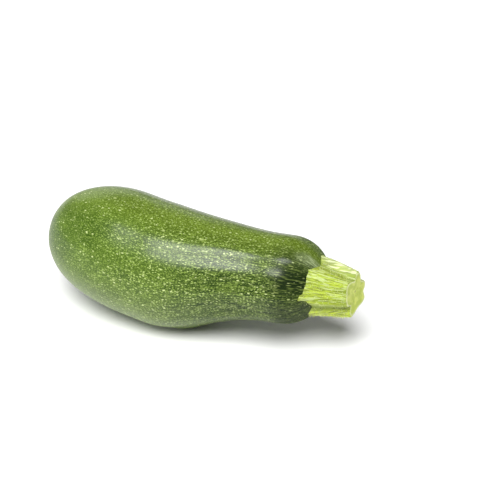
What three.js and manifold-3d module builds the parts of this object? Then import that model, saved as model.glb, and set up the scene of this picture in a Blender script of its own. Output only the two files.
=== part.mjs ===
// A short, club-shaped zucchini lying on its belly, with its ridged, cut stem.
//
// Millimetres, +Z up, +X from the blossom end to the stem. The origin is the middle of the small flat
// spot that the fruit rests on. Angles run round the X axis from +Y towards +Z, so 90 is the top of the
// fruit, 180 its front side and 270 the side it lies on.
//
// The fruit is a surface of revolution (round blossom end, belly, taper, neck, domed shoulder) that is
// pressed into soft facets by five main ribs with a lesser rib between each two, and shifted sideways and
// up along a gently bent centre line. The stem is a tapered, slightly twisted post with six ridges, whose
// lobed root is cut to the curve of the shoulder and whose other end is the gardener's slanting cut.

import * as THREE from "three";
import { mergeVertices } from "three/addons/utils/BufferGeometryUtils.js";
import Module from "manifold-3d";

const { PI, cos, sin, sqrt, exp, hypot, atan2, floor } = Math;
const { degToRad, lerp, smoothstep, euclideanModulo } = THREE.MathUtils;

// ---- Driving dimensions: the fruit ----
const BLOSSOM_TIP_X = -68;
const BELLY_X = -20; // where the rounding of the blossom end is over
const TAPER_START_X = -6;
const TAPER_END_X = 53;
const SHOULDER_X = 59; // the centre of the domed shoulder, which has the neck's radius
const BELLY_RADIUS = 30.7;
const NECK_RADIUS = 21.4;
const BLOSSOM_FULLNESS = 2.1; // the exponent of the blossom end's outline: 2 is an ellipse
const FRUIT_SEGMENTS = 64;

// The centre line: its height over the surface, its sag at the belly and its slow rise to the stem.
const AXIS_HEIGHT = 35.2;
const AXIS_SAG = 5.6;
const AXIS_SAG_X = 3.5;
const AXIS_SAG_LENGTH = 28.5;
const AXIS_RISE = 0.0165;
// Seen from above it bends a little towards +Y at both ends.
const BEND_SLOPE = -0.037;
const BEND_CURVE = 0.0006;

// Under the belly the fruit has settled: its underside is fuller on the stem's side of its lowest point,
// which keeps the centre of mass over the flat spot.
const SEAT_FULLNESS = 2.2;
const SEAT_X = 12;
const SEAT_LENGTH = 8;
const SEAT_BREADTH = 0.84; // the sine of the angle below the centre line where the fullness starts

// Ribs, as shares of the radius: almost nothing at the blossom end, most at the shoulder.
const RIB_ANGLES = [40, 119, 178, 254.5, 328];
const MAIN_RIB = 0.006;
const LESSER_RIB = 0.01;
const RIBS_AT_BLOSSOM = 0.25;
const RIBS_AT_SHOULDER = 2.2;

// The corky scar that the flower left: a low button with a sunken middle, in a shallow dish.
const SCAR_RADIUS = 5;
const SCAR_HEIGHT = 1.1;
const SCAR_DIMPLE = 0.7;
const DISH_DEPTH = 0.9;

// ---- Driving dimensions: the stem ----
const STEM_START_X = 70; // inside the shoulder, where the post starts before the shoulder is cut from it
const STEM_ROOT_X = 74;
const STEM_CUT_X = 94.2;
const STEM_CUT_OFFSET = { y: -1.3, z: 0.9 }; // how far the post leans from the shoulder to its cut
const CUT_SLANT = degToRad(12); // the knife's plane, turned about Z
const CUT_ROUNDING = 0.6;
const CUT_HOLLOW = 0.5;
const STEM_SEGMENTS = 80;
const STEM_SEAT_GAP = 0.3;

// The lines along the post, ridges and furrows in turn: each one's angle and radius at root and cut.
const STEM_LINES = [
  { root: [5, 16.0], cut: [2, 9.4] },
  { root: [32, 13.2], cut: [45, 6.9] },
  { root: [58, 15.4], cut: [88, 11.8] },
  { root: [90, 12.5], cut: [101, 8.5] },
  { root: [122, 16.8], cut: [134, 13.0] },
  { root: [148, 15.1], cut: [160, 10.0] },
  { root: [175, 16.9], cut: [190, 8.6] },
  { root: [203, 13.0], cut: [226, 6.4] },
  { root: [248, 15.2], cut: [256, 12.0] },
  { root: [276, 13.0], cut: [286, 10.4] },
  { root: [305, 16.0], cut: [318, 12.6] },
  { root: [334, 13.2], cut: [340, 8.6] },
];

const FRUIT_GREEN = 0x4c6b22;
const STEM_GREEN = 0xb9cf5a;

// ---- The fruit ----
const SHOULDER_TIP_X = SHOULDER_X + NECK_RADIUS;

function fruitRadius(x) {
  if (x < BELLY_X) {
    const share = (BELLY_X - x) / (BELLY_X - BLOSSOM_TIP_X);
    return BELLY_RADIUS * (1 - share ** BLOSSOM_FULLNESS) ** (1 / BLOSSOM_FULLNESS);
  }
  if (x > SHOULDER_X) return sqrt(Math.max(0, NECK_RADIUS ** 2 - (x - SHOULDER_X) ** 2));
  return lerp(BELLY_RADIUS, NECK_RADIUS, smoothstep(x, TAPER_START_X, TAPER_END_X));
}

// The outline in the lathe's plane, as (radius, x), from the blossom to the stem. Each rounded end is
// divided by equal angles, so its rings close up towards the axis, and the middle by equal steps.
function fruitOutline() {
  const blossomSteps = 16;
  const middleSteps = 18;
  const domeSteps = 9;
  const stations = [];
  for (let i = 0; i < blossomSteps; i++) {
    stations.push(lerp(BELLY_X, BLOSSOM_TIP_X, cos((i / blossomSteps) * (PI / 2))));
  }
  for (let i = 0; i < middleSteps; i++) stations.push(lerp(BELLY_X, SHOULDER_X, i / middleSteps));
  for (let i = 0; i <= domeSteps; i++) {
    stations.push(SHOULDER_X + NECK_RADIUS * sin((i / domeSteps) * (PI / 2)));
  }
  return stations.map((x) => new THREE.Vector2(fruitRadius(x), x));
}

// How far round the ribs an angle is: whole numbers are main ribs and halves are lesser ones.
function ribPhase(degrees) {
  const turned = euclideanModulo(degrees - RIB_ANGLES[0], 360) + RIB_ANGLES[0];
  const next = RIB_ANGLES.findIndex((rib) => rib > turned);
  const index = next < 0 ? RIB_ANGLES.length - 1 : next - 1;
  const start = RIB_ANGLES[index];
  const end = next < 0 ? RIB_ANGLES[0] + 360 : RIB_ANGLES[next];
  return index + (turned - start) / (end - start);
}

function ribs(x, degrees) {
  const phase = 2 * PI * ribPhase(degrees);
  const growth =
    lerp(RIBS_AT_BLOSSOM, 1, smoothstep(x, BLOSSOM_TIP_X, BELLY_X)) +
    (RIBS_AT_SHOULDER - 1) * smoothstep(x, TAPER_START_X, SHOULDER_X);
  return growth * (MAIN_RIB * cos(phase) + LESSER_RIB * cos(2 * phase));
}

const axisY = (x) => BEND_SLOPE * x + BEND_CURVE * x * x;
const axisZ = (x) =>
  AXIS_HEIGHT + AXIS_RISE * x - AXIS_SAG * exp(-(((x - AXIS_SAG_X) / AXIS_SAG_LENGTH) ** 2));

const settling = (x, angle) =>
  SEAT_FULLNESS * exp(-(((x - SEAT_X) / SEAT_LENGTH) ** 2)) * smoothstep(-sin(angle), SEAT_BREADTH, 1);

// The scar's relief along X, out of the blossom end, at a distance from its middle.
function scarRelief(distance) {
  const button = SCAR_HEIGHT * (1 - smoothstep(distance, 0.7 * SCAR_RADIUS, 1.1 * SCAR_RADIUS));
  const dimple = SCAR_DIMPLE * exp(-((distance / (0.4 * SCAR_RADIUS)) ** 2));
  const dish = DISH_DEPTH * exp(-((distance / (1.8 * SCAR_RADIUS)) ** 2));
  return button - dimple - dish;
}

function placeOnFruit(x, radius, angle) {
  const reach = radius * (1 + ribs(x, THREE.MathUtils.radToDeg(angle)));
  const scar = x < BELLY_X ? scarRelief(radius) : 0;
  return new THREE.Vector3(
    x - scar,
    axisY(x) + reach * cos(angle),
    Math.max(0, axisZ(x) + reach * sin(angle) - settling(x, angle)), // 0 is the flat spot
  );
}

// ---- The stem ----
const stemShare = (x) => (x - STEM_ROOT_X) / (STEM_CUT_X - STEM_ROOT_X);

// The outline in the lathe's plane, from root to cut. Its radius is a share of the post's own.
function stemOutline() {
  const sideSteps = 9;
  const outline = [new THREE.Vector2(0, STEM_START_X)];
  for (let i = 0; i <= sideSteps; i++) {
    outline.push(new THREE.Vector2(1, lerp(STEM_START_X, STEM_CUT_X - CUT_ROUNDING, i / sideSteps)));
  }
  outline.push(new THREE.Vector2(0.96, STEM_CUT_X));
  for (const share of [0.85, 0.6, 0.3, 0]) {
    outline.push(new THREE.Vector2(share, STEM_CUT_X - CUT_HOLLOW * (1 - share)));
  }
  return outline;
}

// The post's radius at an angle, easing from each of its lines to the next.
function stemRadius(share, degrees) {
  const lines = STEM_LINES.map(({ root, cut }) => [
    lerp(root[0], cut[0], share),
    lerp(root[1], cut[1], share),
  ]);
  lines.push([lines[0][0] + 360, lines[0][1]]);
  const turned = euclideanModulo(degrees - lines[0][0], 360) + lines[0][0];
  const next = Math.max(1, lines.findIndex(([angle]) => angle > turned));
  const [[startAngle, start], [endAngle, end]] = [lines[next - 1], lines[next]];
  return lerp(start, end, smoothstep(turned, startAngle, endAngle));
}

function placeOnStem(x, part, angle) {
  const share = stemShare(x);
  const reach = part * stemRadius(share, THREE.MathUtils.radToDeg(angle));
  const y = reach * cos(angle);
  return new THREE.Vector3(
    x + Math.max(0, share) * y * Math.tan(CUT_SLANT),
    axisY(SHOULDER_X) + share * STEM_CUT_OFFSET.y + y,
    axisZ(SHOULDER_X) + share * STEM_CUT_OFFSET.z + reach * sin(angle),
  );
}

// ---- Building ----

// A closed lathe about X whose points are then moved by place(x, radius, angle).
function turned(outline, segments, place) {
  const lathe = new THREE.LatheGeometry(outline, segments);
  lathe.deleteAttribute("normal");
  lathe.deleteAttribute("uv");
  const welded = mergeVertices(lathe, 1e-3);
  const at = welded.getAttribute("position");
  for (let i = 0; i < at.count; i++) {
    const [side, x, up] = [at.getZ(i), at.getY(i), at.getX(i)];
    at.setXYZ(i, ...place(x, hypot(side, up), atan2(up, side)));
  }
  return welded;
}

const wasm = await Module();
wasm.setup();

const solidOf = (geometry) =>
  new wasm.Manifold(
    new wasm.Mesh({
      numProp: 3,
      vertProperties: new Float32Array(geometry.getAttribute("position").array),
      triVerts: new Uint32Array(geometry.index.array),
    }),
  );

function geometryOf(solid) {
  const mesh = solid.getMesh();
  return new THREE.BufferGeometry()
    .setAttribute("position", new THREE.BufferAttribute(mesh.vertProperties, 3))
    .setIndex(new THREE.BufferAttribute(mesh.triVerts, 1));
}

// The shoulder, grown by the gap, is cut from the stem's root so that the two meet along one curved seat.
function seatedStem(fruitGeometry, stemGeometry) {
  const shoulder = new THREE.Vector3(SHOULDER_X, axisY(SHOULDER_X), axisZ(SHOULDER_X));
  const growth = 1 + STEM_SEAT_GAP / NECK_RADIUS;
  const grown = fruitGeometry
    .clone()
    .translate(...shoulder.clone().negate())
    .scale(growth, growth, growth)
    .translate(...shoulder);
  return geometryOf(solidOf(stemGeometry).subtract(solidOf(grown)));
}

function piece(name, geometry, color, roughness) {
  const material = new THREE.MeshStandardMaterial({ color, roughness, metalness: 0 });
  const mesh = new THREE.Mesh(geometry, material);
  mesh.name = name;
  return mesh;
}

const fruitGeometry = turned(fruitOutline(), FRUIT_SEGMENTS, placeOnFruit);
const stemGeometry = turned(stemOutline(), STEM_SEGMENTS, placeOnStem);

const zucchini = new THREE.Group();
zucchini.add(piece("fruit", fruitGeometry, FRUIT_GREEN, 0.42));
zucchini.add(piece("stem", seatedStem(fruitGeometry, stemGeometry), STEM_GREEN, 0.6));

export default zucchini;
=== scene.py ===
import math

import bpy
import numpy as np
from mathutils import Matrix, Vector, noise


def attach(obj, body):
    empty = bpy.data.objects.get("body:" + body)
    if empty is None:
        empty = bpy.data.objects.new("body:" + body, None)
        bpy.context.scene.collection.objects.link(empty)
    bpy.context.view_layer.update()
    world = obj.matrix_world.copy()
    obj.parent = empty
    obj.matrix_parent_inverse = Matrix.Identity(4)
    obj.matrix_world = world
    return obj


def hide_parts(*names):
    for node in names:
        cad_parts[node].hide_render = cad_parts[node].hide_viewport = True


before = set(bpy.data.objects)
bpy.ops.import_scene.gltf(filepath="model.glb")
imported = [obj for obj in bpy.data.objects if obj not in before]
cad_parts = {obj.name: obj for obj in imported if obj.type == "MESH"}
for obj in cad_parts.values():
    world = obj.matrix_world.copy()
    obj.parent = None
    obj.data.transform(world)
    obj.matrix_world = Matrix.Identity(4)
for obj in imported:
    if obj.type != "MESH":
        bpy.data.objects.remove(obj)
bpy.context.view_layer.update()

# Sizes are in millimetres until a mesh is made. X runs from the blossom end to the stem and Z is up.
# Angles run round X from +Y towards +Z: 90 is the top of the fruit and 180 the side it shows.

# ---- Camera ----


def look(azimuth, elevation):
    """The turn of a camera or lamp that looks along the line from this azimuth and elevation."""
    turn, rise = math.radians(azimuth), math.radians(elevation)
    back = Vector((math.sin(turn) * math.cos(rise), -math.cos(turn) * math.cos(rise), math.sin(rise)))
    right = Vector((math.cos(turn), math.sin(turn), 0))
    return Matrix((right, back.cross(right), back)).transposed().to_4x4()


lens = bpy.data.cameras.new("camera")
lens.lens = 80
lens.sensor_width = 36
lens.clip_start = 0.01
camera = bpy.data.objects.new("camera", lens)
camera.matrix_world = Matrix.Translation((0.20084, -0.41591, 0.32660)) @ look(21, 32)
bpy.context.scene.collection.objects.link(camera)
bpy.context.scene.camera = camera

# ---- Form of the fruit, as in the solid ----
BLOSSOM_TIP, BELLY_END, TAPER_START, TAPER_END, SHOULDER = -68.0, -20.0, -6.0, 53.0, 59.0
BELLY_RADIUS, NECK_RADIUS, BLOSSOM_FULLNESS = 30.7, 21.4, 2.1
RIB_ANGLES = (40, 119, 178, 254.5, 328, 400)
FRUIT_SIDES = 320


def ease(x, start, end):
    share = np.clip((x - start) / (end - start), 0, 1)
    return share * share * (3 - 2 * share)


def mix(a, b, share):
    return a + (b - a) * share


def wrap(degrees):
    """The same angle between -180 and 180."""
    return (degrees + 180) % 360 - 180


def axis_y(x):
    return -0.037 * x + 0.0006 * x * x


def axis_z(x):
    return 35.2 + 0.0165 * x - 5.6 * np.exp(-(((x - 3.5) / 28.5) ** 2))


def settling(x, angle):
    """How much fuller the underside is on the stem's side of the belly."""
    return 2.2 * np.exp(-(((x - 12) / 8) ** 2)) * ease(-np.sin(angle), 0.84, 1)


def fruit_radius(x):
    share = np.clip((BELLY_END - x) / (BELLY_END - BLOSSOM_TIP), 0, 1)
    cap = BELLY_RADIUS * (1 - share**BLOSSOM_FULLNESS) ** (1 / BLOSSOM_FULLNESS)
    dome = np.sqrt(np.maximum(0, NECK_RADIUS**2 - np.maximum(0, x - SHOULDER) ** 2))
    middle = mix(BELLY_RADIUS, NECK_RADIUS, ease(x, TAPER_START, TAPER_END))
    return np.where(x < BELLY_END, cap, np.where(x > SHOULDER, dome, middle))


def rib_phase(degrees):
    """Turns by a whole circle from each main rib to the next, with a lesser rib half way."""
    turned = (degrees - RIB_ANGLES[0]) % 360 + RIB_ANGLES[0]
    return 2 * np.pi * np.interp(turned, RIB_ANGLES, range(6))


def ribs(x, degrees):
    phase = rib_phase(degrees)
    growth = mix(0.25, 1, ease(x, BLOSSOM_TIP, BELLY_END)) + 1.2 * ease(x, TAPER_START, SHOULDER)
    furrow = 0.03 * ease(x, 54, 72) * (np.cos(phase) - 1)
    return growth * (0.006 * np.cos(phase) + 0.005 * np.cos(2 * phase)) + furrow


# ---- Form of the stem, as in the solid ----
STEM_ROOT, STEM_CUT = 74.0, 94.2
STEM_LEAN = (-1.3, 0.9)
CUT_SLANT = math.radians(12)
STEM_LINES = (
    ((5, 15.0), (2, 9.4)),
    ((32, 13.0), (45, 6.9)),
    ((58, 14.6), (88, 11.8)),
    ((90, 12.5), (101, 8.5)),
    ((121, 14.9), (134, 13.0)),
    ((150, 14.4), (160, 10.0)),
    ((173, 14.8), (190, 8.6)),
    ((203, 11.9), (226, 6.4)),
    ((248, 14.6), (256, 12.0)),
    ((276, 13.0), (286, 10.4)),
    ((305, 15.0), (318, 12.6)),
    ((334, 13.0), (340, 8.6)),
)
TIPS = ((122, 1.7, 9), (172, 2.3, 6))
STEM_SIDES, STEM_ROWS = 360, 90
HAIRS = 520
HAIR_SIDES = (250, 90, 150)


def stem_radius(share, degrees):
    """The post's radius at one share of its length, for an array of angles."""
    angles = np.array([mix(root[0], cut[0], share) for root, cut in STEM_LINES])
    radii = np.array([mix(root[1], cut[1], share) for root, cut in STEM_LINES])
    angles, radii = np.append(angles, angles[0] + 360), np.append(radii, radii[0])
    turned = (degrees - angles[0]) % 360 + angles[0]
    line = np.clip(np.searchsorted(angles, turned, side="right") - 1, 0, len(angles) - 2)
    part = (turned - angles[line]) / (angles[line + 1] - angles[line])
    flare = np.clip((0.12 - share) / 0.19, 0, 1.3) ** 1.5
    tips = sum(size * np.exp(-np.abs(wrap(degrees - tip)) / width) for tip, size, width in TIPS)
    return mix(radii[line], radii[line + 1], part * part * (3 - 2 * part)) + flare * tips


# ---- Meshes ----


def field(points, size, seed):
    """Smooth noise between about -1 and 1 at an array of points, with lumps of the given sizes."""
    scaled = (points / np.asarray(size)).reshape(-1, 3) + seed * 17.31
    return np.array([noise.noise(p) for p in scaled.tolist()]).reshape(points.shape[:-1])


def closed_tube(name, rings, start, end, uv_of):
    """A closed mesh from rings of points with one point at each end. uv_of gives its baking layout."""
    count, around = rings.shape[:2]
    points = np.vstack([[start], rings.reshape(-1, 3), [end]])
    last = len(points) - 1
    faces, places = [], []
    for j in range(around):
        k = (j + 1) % around
        faces.append((0, 1 + k, 1 + j))
        places.append(((-1, j + 0.5), (0, j + 1), (0, j)))
        top = 1 + (count - 1) * around
        faces.append((top + j, top + k, last))
        places.append(((count - 1, j), (count - 1, j + 1), (count, j + 0.5)))
        for i in range(count - 1):
            row = 1 + i * around
            faces.append((row + j, row + k, row + around + k, row + around + j))
            places.append(((i, j), (i, j + 1), (i + 1, j + 1), (i + 1, j)))
    mesh = bpy.data.meshes.new(name)
    mesh.from_pydata((points * 0.001).tolist(), [], faces)
    mesh.shade_smooth()
    corners = np.array([uv for face in places for uv in uv_of(face)], dtype=np.float32)
    mesh.uv_layers.new(name="OFBake").data.foreach_set("uv", corners.ravel())
    return mesh


def paint(mesh, name, values):
    """Stores one number or one vector for each point of the mesh, for its finish to read."""
    values = np.asarray(values, dtype=np.float32)
    kind, key = ("FLOAT_VECTOR", "vector") if values.ndim == 2 else ("FLOAT", "value")
    mesh.attributes.new(name, kind, "POINT").data.foreach_set(key, values.ravel())


def place(name, mesh, material, node):
    """Puts a finished mesh in the scene in place of one of the solids."""
    mesh.materials.append(material)
    piece = bpy.data.objects.new(name, mesh)
    bpy.context.scene.collection.objects.link(piece)
    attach(piece, "root")
    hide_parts(node)


# ---- Colours, as linear red, green and blue ----
SKIN = {
    "deep": (0.035, 0.075, 0.004),
    "leaf": (0.057, 0.108, 0.007),
    "neck": (0.009, 0.021, 0.001),
    "grit": (0.268, 0.388, 0.068),
    "painted top light": (0.338, 0.463, 0.018),
    "painted floor bounce": (0.300, 0.400, 0.090),
    "dust": (0.415, 0.525, 0.165),
    "shoulder": (0.004, 0.012, 0.001),
    "rays": (0.178, 0.240, 0.053),
    "dots": (0.510, 0.590, 0.250),
    "dashes": (0.356, 0.436, 0.125),
    "blots": (0.420, 0.505, 0.175),
    "shoulder_highlight": (0.356, 0.427, 0.223),
    "scar edge": (0.09, 0.075, 0.030),
    "cork": (0.17, 0.13, 0.065),
    "dry cork": (0.46, 0.39, 0.24),
}
STEM = {
    "green": (0.250, 0.342, 0.009),
    "light green": (0.360, 0.460, 0.027),
    "painted underside light": (0.570, 0.700, 0.050),
    "threads": (0.151, 0.187, 0.005),
    "pith": (0.510, 0.600, 0.240),
    "sheen-lit pith": (0.730, 0.775, 0.480),
    "top_sheen": (0.68, 0.73, 0.42),
    "furrow": (0.15, 0.21, 0.008),
    "flesh": (0.450, 0.550, 0.050),
    "pale flesh": (0.610, 0.690, 0.125),
    "rim": (0.748, 0.783, 0.463),
    "core": (0.10, 0.07, 0.02),
    "hairs": (0.62, 0.66, 0.28),
}
FLOOR = (0.9, 0.9, 0.9)

# ---- Finishes ----


class Value:
    """An output of a node, to be used in sums like a number."""

    def __init__(self, finish, socket):
        self.finish, self.socket = finish, socket

    def math(self, operation, *terms):
        inputs = dict(enumerate(terms))
        return self.finish.node("ShaderNodeMath", {"operation": operation}, inputs)

    def __add__(self, other): return self.math("ADD", self, other)
    def __sub__(self, other): return self.math("SUBTRACT", self, other)
    def __rsub__(self, other): return self.math("SUBTRACT", other, self)
    def __mul__(self, other): return self.math("MULTIPLY", self, other)
    def __lt__(self, other): return self.math("LESS_THAN", self, other)
    __radd__, __rmul__ = __add__, __mul__

    def output(self, name):
        return Value(self.finish, self.socket.node.outputs[name])

    def ramp(self, low, high, start=0.0, end=1.0):
        """Eases from start to end as this value goes from low to high."""
        return self.finish.node("ShaderNodeMapRange", {"interpolation_type": "SMOOTHSTEP"}, {
            "Value": self, "From Min": low, "From Max": high, "To Min": start, "To Max": end})


class Finish:
    """One material, built node by node."""

    def __init__(self, name):
        self.material = bpy.data.materials.new(name)
        self.material.use_nodes = True
        self.tree = self.material.node_tree
        self.tree.nodes.clear()

    def node(self, kind, settings=None, inputs=None, output=0):
        made = self.tree.nodes.new(kind)
        for key, value in (settings or {}).items():
            setattr(made, key, value)
        for key, value in (inputs or {}).items():
            if isinstance(value, Value):
                self.tree.links.new(value.socket, made.inputs[key])
            else:
                made.inputs[key].default_value = value
        return Value(self, made.outputs[output]) if made.outputs else made

    def blend(self, share, first, second):
        first, second = [c if isinstance(c, Value) else (*c, 1) for c in (first, second)]
        return self.node("ShaderNodeMix", {"data_type": "RGBA"}, {0: share, 6: first, 7: second}, 2)

    def read(self, name, output="Fac"):
        return self.node("ShaderNodeAttribute", {"attribute_name": name}, output=output)

    def stretched(self, vector, sizes, seed=0):
        """The vector in units of the given sizes, moved to its own part of the noise."""
        return self.node("ShaderNodeVectorMath", {"operation": "MULTIPLY_ADD"}, {
            0: vector, 1: [1 / s for s in sizes], 2: (seed * 7.3, seed * 3.1, seed * 5.7)})

    def clouds(self, vector, sizes, seed=0, detail=2):
        return self.node("ShaderNodeTexNoise", None, {
            "Vector": self.stretched(vector, sizes, seed), "Scale": 1, "Detail": detail})

    def flecks(self, vector, sizes, seed, share, smallest, largest):
        """Soft-edged dots, in this share of the cells, between two radii given in cells."""
        cells = self.node("ShaderNodeTexVoronoi", None, {
            "Vector": self.stretched(vector, sizes, seed), "Scale": 1})
        chance = self.node("ShaderNodeSeparateColor", None, {"Color": cells.output("Color")})
        radius = chance.output("Green") * (largest - smallest) + smallest
        dot = cells.ramp(radius * 0.55, radius, 1, 0)
        return dot * (chance < share)

    def surface(self, inputs):
        shader = self.node("ShaderNodeBsdfPrincipled", None, inputs)
        self.node("ShaderNodeOutputMaterial", None, {"Surface": shader})
        return self.material


def skin_finish():
    """Waxy green skin with pale flecks, fine streaks along the fruit and a corky blossom scar."""
    f = Finish("skin")
    grain = f.read("grain", "Vector")
    neck = f.read("neck")
    speck = f.read("speck")
    lit_top = f.read("lit_top")
    floor_bounce = f.read("floor_bounce")
    shaded_shoulder = f.read("shaded_shoulder")
    gloss = f.read("gloss")
    shoulder_highlight = f.read("shoulder_highlight")
    scar = f.read("scar")
    mottle = f.clouds(grain, (22, 11, 11), 1, 3)
    lines = f.clouds(grain, (8, 0.45, 0.45), 2, 1)
    rows = f.clouds(grain, (40, 2.4, 2.4), 8, 1).ramp(0.40, 0.60)
    grit = f.clouds(grain, (0.85, 0.30, 0.30), 3, 1)
    pale = (grit + (lines - 0.5) * (neck * 0.52 + 0.22)).ramp(0.515, 0.62)
    dust = f.flecks(grain, (1.5, 0.7, 0.7), 4, 0.42, 0.28, 0.50)
    dots = f.flecks(grain, (2.9, 1.7, 1.7), 5, 0.50, 0.17, 0.30)
    dashes = f.flecks(grain, (5.0, 1.1, 1.1), 10, 0.40, 0.20, 0.38)
    blots = f.flecks(grain, (6.5, 4.5, 4.5), 6, 0.35, 0.10, 0.20)
    rays = f.clouds(grain, (5, 1.0, 1.0), 9, 1).ramp(0.52, 0.66)
    deep = f.blend(mottle.ramp(0.35, 0.65), SKIN["deep"], SKIN["leaf"])
    # Darker towards the stem, and more on the neck's sides and underside than on its top: partly the
    # skin's own darker green, partly painted shade.
    color = f.blend(speck * 0.24 + neck * 0.57, deep, SKIN["neck"])
    color = f.blend(pale * (speck * 0.22 + neck * -0.14 + 0.48), color, SKIN["grit"])
    # Paler olive along the top: painted light from above, partly the skin's own colour.
    color = f.blend(lit_top * 0.15, color, SKIN["painted top light"])
    # Paler lower side near the belly: painted light bounced up from the floor, partly the skin's paler
    # ground spot.
    color = f.blend(floor_bounce * 0.20, color, SKIN["painted floor bounce"])
    color = f.blend(dust * (speck * 0.55 + 0.32), color, SKIN["dust"])
    # Near-black shoulder round the stem: partly the skin's own dark green, partly painted shade.
    color = f.blend(shaded_shoulder * 0.97, color, SKIN["shoulder"])
    color = f.blend(rays * shaded_shoulder * 0.40, color, SKIN["rays"])
    color = f.blend(dots * (rows * 0.6 + 0.40) * (shaded_shoulder * -0.5 + 1), color, SKIN["dots"])
    color = f.blend(dashes * neck * 0.45, color, SKIN["dashes"])
    color = f.blend(blots * 0.6, color, SKIN["blots"])
    # Pale streaks on the shoulder's top beside the stem: a painted highlight.
    color = f.blend(shoulder_highlight * rays.ramp(0.0, 0.4, 0.35, 0.95), color, SKIN["shoulder_highlight"])
    cork = f.clouds(grain, (1.2, 0.7, 0.7), 7, 3).ramp(0.38, 0.62)
    color = f.blend(scar.ramp(0.05, 0.45), color, SKIN["scar edge"])
    color = f.blend(scar.ramp(0.45, 1.0), color, f.blend(cork, SKIN["cork"], SKIN["dry cork"]))
    height = pale + dust * 0.4 + dots * 0.5 + cork * scar * 3
    bump = f.node("ShaderNodeBump", None, {"Strength": 0.5, "Distance": 0.0001, "Height": height})
    return f.surface({
        "Base Color": color,
        "Roughness": mottle.ramp(0.3, 0.7, 0.42, 0.48) + shaded_shoulder * 0.2 + scar * 0.4,
        "Normal": bump,
        "Specular IOR Level": 0.08,
        "Coat Weight": gloss * (pale * 0.12 + 0.53),
        "Coat Roughness": 0.24,
        "Coat IOR": 1.5,
    })


def stem_finish():
    """Pale, fibrous stem with darker furrows, partly greener and partly painted shade, painted light on
    its lower side, a painted sheen on its top ridge and a moist cut.
    """
    f = Finish("stem")
    grain = f.read("grain", "Vector")
    crest = f.read("crest")
    cut = f.read("cut")
    rim = f.read("rim")
    top_sheen = f.read("top_sheen")
    low = f.read("low")
    spot = f.read("spot")
    fibres = f.clouds(grain, (7, 0.8, 0.8), 1, 2)
    threads = f.clouds(grain, (5, 0.5, 0.5), 5, 1)
    patches = f.clouds(grain, (8, 3.5, 3.5), 2)
    color = f.blend(patches.ramp(0.38, 0.62), STEM["green"], STEM["light green"])
    # Paler, yellower lower side: painted light.
    color = f.blend(low * 0.85, color, STEM["painted underside light"])
    color = f.blend(threads.ramp(0.495, 0.55) * 0.80, color, STEM["threads"])
    # Paler pith and pale streaks on the top ridge: a painted sheen, partly a pale waxy bloom.
    pith = f.blend(top_sheen, STEM["pith"], STEM["sheen-lit pith"])
    color = f.blend(fibres.ramp(0.52, 0.57) * (top_sheen * 0.2 + 0.65), color, pith)
    color = f.blend(top_sheen * crest * 0.40, color, STEM["top_sheen"])
    # Darker in the furrows: painted shade, partly the furrows' own greener colour.
    color = f.blend(crest.ramp(0.05, 0.50, 0.65, 0.0), color, STEM["furrow"])
    moist = f.clouds(grain, (5, 5, 5), 3, 4).ramp(0.40, 0.60)
    flesh = f.blend(moist, STEM["flesh"], STEM["pale flesh"])
    flesh = f.blend(rim * threads.ramp(0.35, 0.55, 0.3, 1.0), flesh, STEM["rim"])
    color = f.blend(cut, color, f.blend(spot, flesh, STEM["core"]))
    height = fibres + threads * -0.5 + f.clouds(grain, (2.5, 0.25, 0.25), 4) * 0.3
    bump = f.node("ShaderNodeBump", None, {"Strength": 0.8, "Distance": 0.0004, "Height": height})
    return f.surface({
        "Base Color": color,
        "Roughness": fibres.ramp(0.3, 0.7, 0.5, 0.65),
        "Normal": bump,
        "Subsurface Weight": 0.15,
        "Subsurface Radius": (1.0, 0.9, 0.3),
        "Subsurface Scale": 0.0015,
    })


# ---- The fruit ----


def fruit_stations():
    """Where the rings lie along X: close together at both ends, where the surface turns to face out."""
    cap = BELLY_END - (BELLY_END - BLOSSOM_TIP) * np.cos(np.linspace(0, np.pi / 2, 111))[1:-1]
    dome = SHOULDER + NECK_RADIUS * np.sin(np.linspace(0, np.pi / 2, 41))[1:-1]
    return np.concatenate([cap, np.linspace(BELLY_END, SHOULDER, 121), dome])


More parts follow.
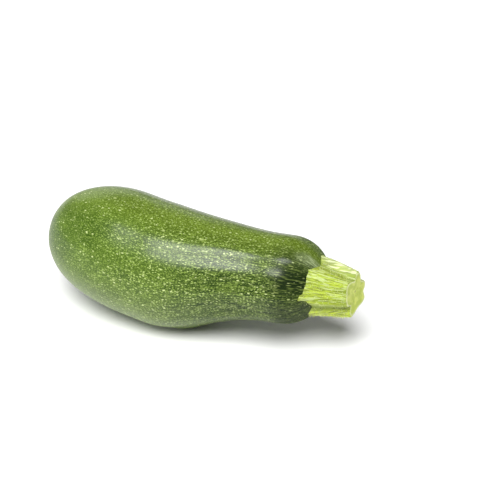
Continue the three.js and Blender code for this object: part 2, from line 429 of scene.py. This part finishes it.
def make_fruit():
    x = fruit_stations()[:, None]
    degrees = np.arange(FRUIT_SIDES)[None, :] * (360 / FRUIT_SIDES)
    angle = np.radians(degrees)
    radius = fruit_radius(x)
    # Distance along the skin, grown towards the blossom's pole so that flecks keep their shape there.
    step = np.hypot(np.diff(x[:, 0]), np.diff(radius[:, 0]))
    middle = (radius[1:, 0] + radius[:-1, 0]) / 2
    growth = np.where(x[1:, 0] < BELLY_END, BELLY_RADIUS / np.maximum(middle, 8), 1)
    along = np.concatenate([[0], np.cumsum(step * growth)])[:, None]
    grain = np.stack(np.broadcast_arrays(
        along, BELLY_RADIUS * np.cos(angle), BELLY_RADIUS * np.sin(angle)), -1)
    swell = 0.2 * field(grain, (40, 16, 16), 1) + 0.012 * field(grain, (14, 3.5, 3.5), 2)
    reach = radius * (1 + ribs(x, degrees)) + swell * np.minimum(1, radius / 12)
    scar_ring = np.minimum(radius, 30)
    scar = (
        1.1 * (1 - ease(scar_ring, 3.5, 5.5))
        - 0.7 * np.exp(-((scar_ring / 2) ** 2))
        - 0.9 * np.exp(-((scar_ring / 9) ** 2))
    ) * (x < BELLY_END)
    rings = np.stack(np.broadcast_arrays(
        x - scar,
        axis_y(x) + reach * np.cos(angle),
        np.maximum(0, axis_z(x) + reach * np.sin(angle) - settling(x, angle)),
    ), -1)
    tip = (BLOSSOM_TIP + 0.5, axis_y(BLOSSOM_TIP), axis_z(BLOSSOM_TIP))
    crown = SHOULDER + NECK_RADIUS
    end = (crown, axis_y(crown), axis_z(crown))
    rows = len(x)
    mesh = closed_tube("fruit_skin", rings, tip, end, lambda face: [
        (j / FRUIT_SIDES, (i + 1) / (rows + 1)) for i, j in face])
    paint(mesh, "grain", np.vstack([[(0, 0, 0)], grain.reshape(-1, 3), [(along[-1, 0], 0, 0)]]))
    # Where the finish changes: the top, with painted light from above; the shoulder, darkened by
    # painted shade and its own darker green; the lower side, with painted light from the floor; and the
    # scar.
    valley = (1 - np.cos(rib_phase(degrees))) / 2
    # The top of the fruit, which gets painted light from above, partly its own paler olive.
    lit_top = np.exp(-((wrap(degrees - 90) / 26) ** 2))
    upper = np.exp(-((wrap(degrees - 70) / 39.5) ** 6))
    lower = np.exp(-((wrap(degrees - 210) / 18) ** 2))
    # Painted shade on the shoulder: deeper in the rib valleys, little on the top and less on the
    # underside.
    shade = (0.65 + 0.35 * valley) * (1 - 0.9 * upper) * (1 - 0.3 * lower)
    shaded_shoulder = ease(x, 53, 64) * shade
    scarred = (1 - ease(scar_ring + 0.8 * field(grain, (4, 3, 3), 3), 3.8, 5.2)) * (x < BELLY_END)
    under = ease(x, 5, 40) * ease(-np.sin(angle), -0.2, 0.5)
    # The lower side of the belly, which gets painted light from the floor.
    floor_bounce = np.exp(-((wrap(degrees - 215) / 38) ** 2)) * (1 - ease(x, -5, 30))
    # A painted highlight on the shoulder's top beside the stem.
    shoulder_highlight = ease(x, 64, 72) * np.exp(-((wrap(degrees - 108) / 10) ** 2))
    crown_top = upper * ease(x, 56, 68)
    dull = (1 - 0.6 * under) * (1 - 0.55 * lit_top * ease(x, 0, 30)) * (1 - 0.3 * ease(-x, 35, 60))
    shine = (1 - ease(x, 56, 68) * shade) * (1 - scarred) * dull * (1 - 0.92 * crown_top)
    # Each paint's values on the rings, then its value at the blossom's pole and at the crown.
    paints = {
        # Darker towards the stem: partly the skin's own darker green, partly painted shade, kept
        # lighter on the top.
        "neck": (ease(x, -15, 60) * (1 - 0.6 * lit_top) * (1 - 0.7 * crown_top), 0, 1),
        "speck": (ease(x, -55, 10), 0, 1),
        "lit_top": (lit_top, 0, 0),
        "floor_bounce": (floor_bounce, 0, 0),
        "shaded_shoulder": (shaded_shoulder, 0, 1),
        "gloss": (shine, 0, 0),
        "shoulder_highlight": (shoulder_highlight, 0, 0),
        "scar": (scarred, 1, 0),
    }
    for name, (values, first, last) in paints.items():
        values = np.broadcast_to(values, reach.shape).ravel()
        paint(mesh, name, np.concatenate([[first], values, [last]]))
    place("fruit_skin", mesh, skin_finish(), "fruit")


# ---- The stem ----


def make_stem():
    around, rows = STEM_SIDES, STEM_ROWS
    degrees = np.arange(around) * (360 / around)
    angle = np.radians(degrees)
    rings, grains, crests, cuts, spots = [], [], [], [], []
    stations = np.linspace(STEM_ROOT - 2.5, STEM_CUT - 0.5, rows)
    profile = [(x, 1.0, 0.0) for x in stations] + [(STEM_CUT - 0.2, 0.985, 0), (STEM_CUT, 0.95, 1)]
    profile += [(STEM_CUT - 0.5 * (1 - part), part, 1) for part in np.linspace(0.88, 0.06, 14)]
    for x, part, cut in profile:
        share = (x - STEM_ROOT) / (STEM_CUT - STEM_ROOT)
        full = stem_radius(share, degrees)
        grain = np.stack([np.full(around, x), 14 * part * np.cos(angle), 14 * part * np.sin(angle)], -1)
        fibre = 0.22 * field(grain, (14, 1.6, 1.6), 5) + 0.08 * field(grain, (6, 0.6, 0.6), 6)
        reach = part * (full + fibre)
        y = reach * np.cos(angle)
        rings.append(np.stack([
            x + max(0, share) * y * math.tan(CUT_SLANT),
            axis_y(SHOULDER) + share * STEM_LEAN[0] + y,
            axis_z(SHOULDER) + share * STEM_LEAN[1] + reach * np.sin(angle),
        ], -1))
        grains.append(grain)
        low, high = full.min(), full.max()
        crests.append((full - low) / (high - low))
        cuts.append(np.full(around, cut))
        spots.append(cut * np.exp(-((y**2 + (reach * np.sin(angle) - 1.2) ** 2) / 0.45**2)))
    rings = np.array(rings)
    start, end = rings[0].mean(0), rings[-1].mean(0)

    def layout(face):
        """The side lies in a strip and the cut in a disc above it."""
        if min(i for i, j in face) >= rows + 1:
            size = [0 if i >= len(profile) else profile[i][1] * 0.17 for i, j in face]
            turns = [j * 2 * math.pi / around for i, j in face]
            return [(0.2 + s * math.cos(t), 0.8 + s * math.sin(t)) for s, t in zip(size, turns)]
        return [(j / around, 0.01 + 0.6 * (i + 1) / (rows + 2)) for i, j in face]

    mesh = closed_tube("stem_post", rings, start, end, layout)
    paint(mesh, "grain", np.vstack([[start], np.array(grains).reshape(-1, 3), [(STEM_CUT, 0, 0)]]))
    paint(mesh, "crest", np.concatenate([[0], np.array(crests).ravel(), [1]]))
    paint(mesh, "cut", np.concatenate([[0], np.array(cuts).ravel(), [1]]))
    paint(mesh, "spot", np.concatenate([[0], np.array(spots).ravel(), [0]]))
    rims = [part if cut else 0 for x, part, cut in profile]
    paint(mesh, "rim", np.concatenate([[0], np.repeat(ease(np.array(rims), 0.84, 0.92), around), [0]]))
    # The stem's top ridge, where a painted sheen is added, partly a pale waxy bloom.
    upper = np.exp(-((wrap(degrees - 82) / 17) ** 2))
    paint(mesh, "top_sheen", np.concatenate([[0], np.tile(upper, len(profile)), [0]]))
    # The stem's lower side, which gets painted light.
    side = np.exp(-((wrap(degrees - 226) / 36) ** 2))
    paint(mesh, "low", np.concatenate([[0], np.tile(side, len(profile)), [0]]))
    place("stem_post", mesh, stem_finish(), "stem")
    make_hairs(rings[4:rows - 2])


def make_hairs(skin):
    """Short stiff hairs standing on the stem, most of them along its underside and its top."""
    draw = np.random.default_rng(6)
    points, faces, corners = [], [], []
    for number in range(HAIRS):
        row = draw.integers(1, len(skin) - 1)
        column = round(draw.choice(HAIR_SIDES, p=(0.5, 0.25, 0.25)) + draw.normal(0, 22)) % STEM_SIDES
        root = skin[row, column]
        along = skin[row + 1, column] - skin[row - 1, column]
        across = skin[row, (column + 1) % STEM_SIDES] - skin[row, column - 1]
        out = np.cross(across, along)
        out /= np.linalg.norm(out)
        side = np.cross(out, (1, 0, 0))
        side /= np.linalg.norm(side)
        front = np.cross(side, out)
        length = draw.uniform(0.6, 1.25)
        tip = root + length * (out + draw.normal(0, 0.3) * side + draw.normal(0.1, 0.3) * front)
        first = len(points)
        # The root's triangle turns from hair to hair, so that no two of them coincide.
        for turn in np.radians((0, 120, 240)) + number:
            points.append(root - 0.15 * out + 0.16 * (math.cos(turn) * side + math.sin(turn) * front))
        points.append(tip)
        left, low = number % 24 / 24, number // 24 / 24
        for j in range(3):
            faces.append((first + (j + 1) % 3, first + j, first + 3))
            for at, up in ((0, 0.01), (1, 0.01), (0.5, 0.035)):
                corners.append((left + (j + at) / 80, low + up))
        faces.append((first, first + 1, first + 2))
        corners += [(left, low), (left + 0.035, low), (left + 0.018, low + 0.008)]
    mesh = bpy.data.meshes.new("stem_hairs")
    mesh.from_pydata((np.array(points) * 0.001).tolist(), [], faces)
    corners = np.array(corners, dtype=np.float32)
    mesh.uv_layers.new(name="OFBake").data.foreach_set("uv", corners.ravel())
    f = Finish("hairs")
    place("stem_hairs", mesh, f.surface({"Base Color": (*STEM["hairs"], 1), "Roughness": 0.5}), "stem")


# ---- Floor and light, in metres and watts ----
FLOOR_REACH = 6
SKY_STRENGTH = 0.16
LAMP_AIM = Vector((0, 0, 0.03))


def make_floor():
    mesh = bpy.data.meshes.new("floor")
    reach = FLOOR_REACH
    corners = [(-reach, -reach, 0), (reach, -reach, 0), (reach, reach, 0), (-reach, reach, 0)]
    mesh.from_pydata(corners, [], [(0, 1, 2, 3)])
    floor = bpy.data.objects.new("floor", mesh)
    f = Finish("floor")
    mesh.materials.append(f.surface({"Base Color": (*FLOOR, 1), "Roughness": 0.8}))
    bpy.context.scene.collection.objects.link(floor)


def make_lamp(name, azimuth, elevation, distance, width, height, power, mirrored=True):
    """A soft lamp that faces the fruit. One that isn't mirrored adds no shine of its own."""
    data = bpy.data.lights.new(name, "AREA")
    data.shape, data.size, data.size_y, data.energy = "ELLIPSE", width, height, power
    lamp = bpy.data.objects.new(name, data)
    turn = look(azimuth, elevation)
    lamp.matrix_world = Matrix.Translation(turn.col[2].to_3d() * distance + LAMP_AIM) @ turn
    lamp.visible_camera = False
    lamp.visible_glossy = mirrored
    bpy.context.scene.collection.objects.link(lamp)


def make_light():
    world = bpy.data.worlds.new("studio")
    bpy.context.scene.world = world
    world.use_nodes = True
    sky = world.node_tree.nodes["Background"]
    sky.inputs["Color"].default_value = (1, 1, 1, 1)
    sky.inputs["Strength"].default_value = SKY_STRENGTH
    make_lamp("softbox", 10, 60, 3.0, 2.1, 1.9, 142)
    make_lamp("left_fill", -64, 16, 2.3, 2.2, 1.2, 19, mirrored=False)
    make_lamp("back_panel", -145, 18, 3.0, 2.2, 1.6, 10)


make_fruit()
make_stem()
make_floor()
make_light()
bpy.context.scene.view_settings.view_transform = "Standard"
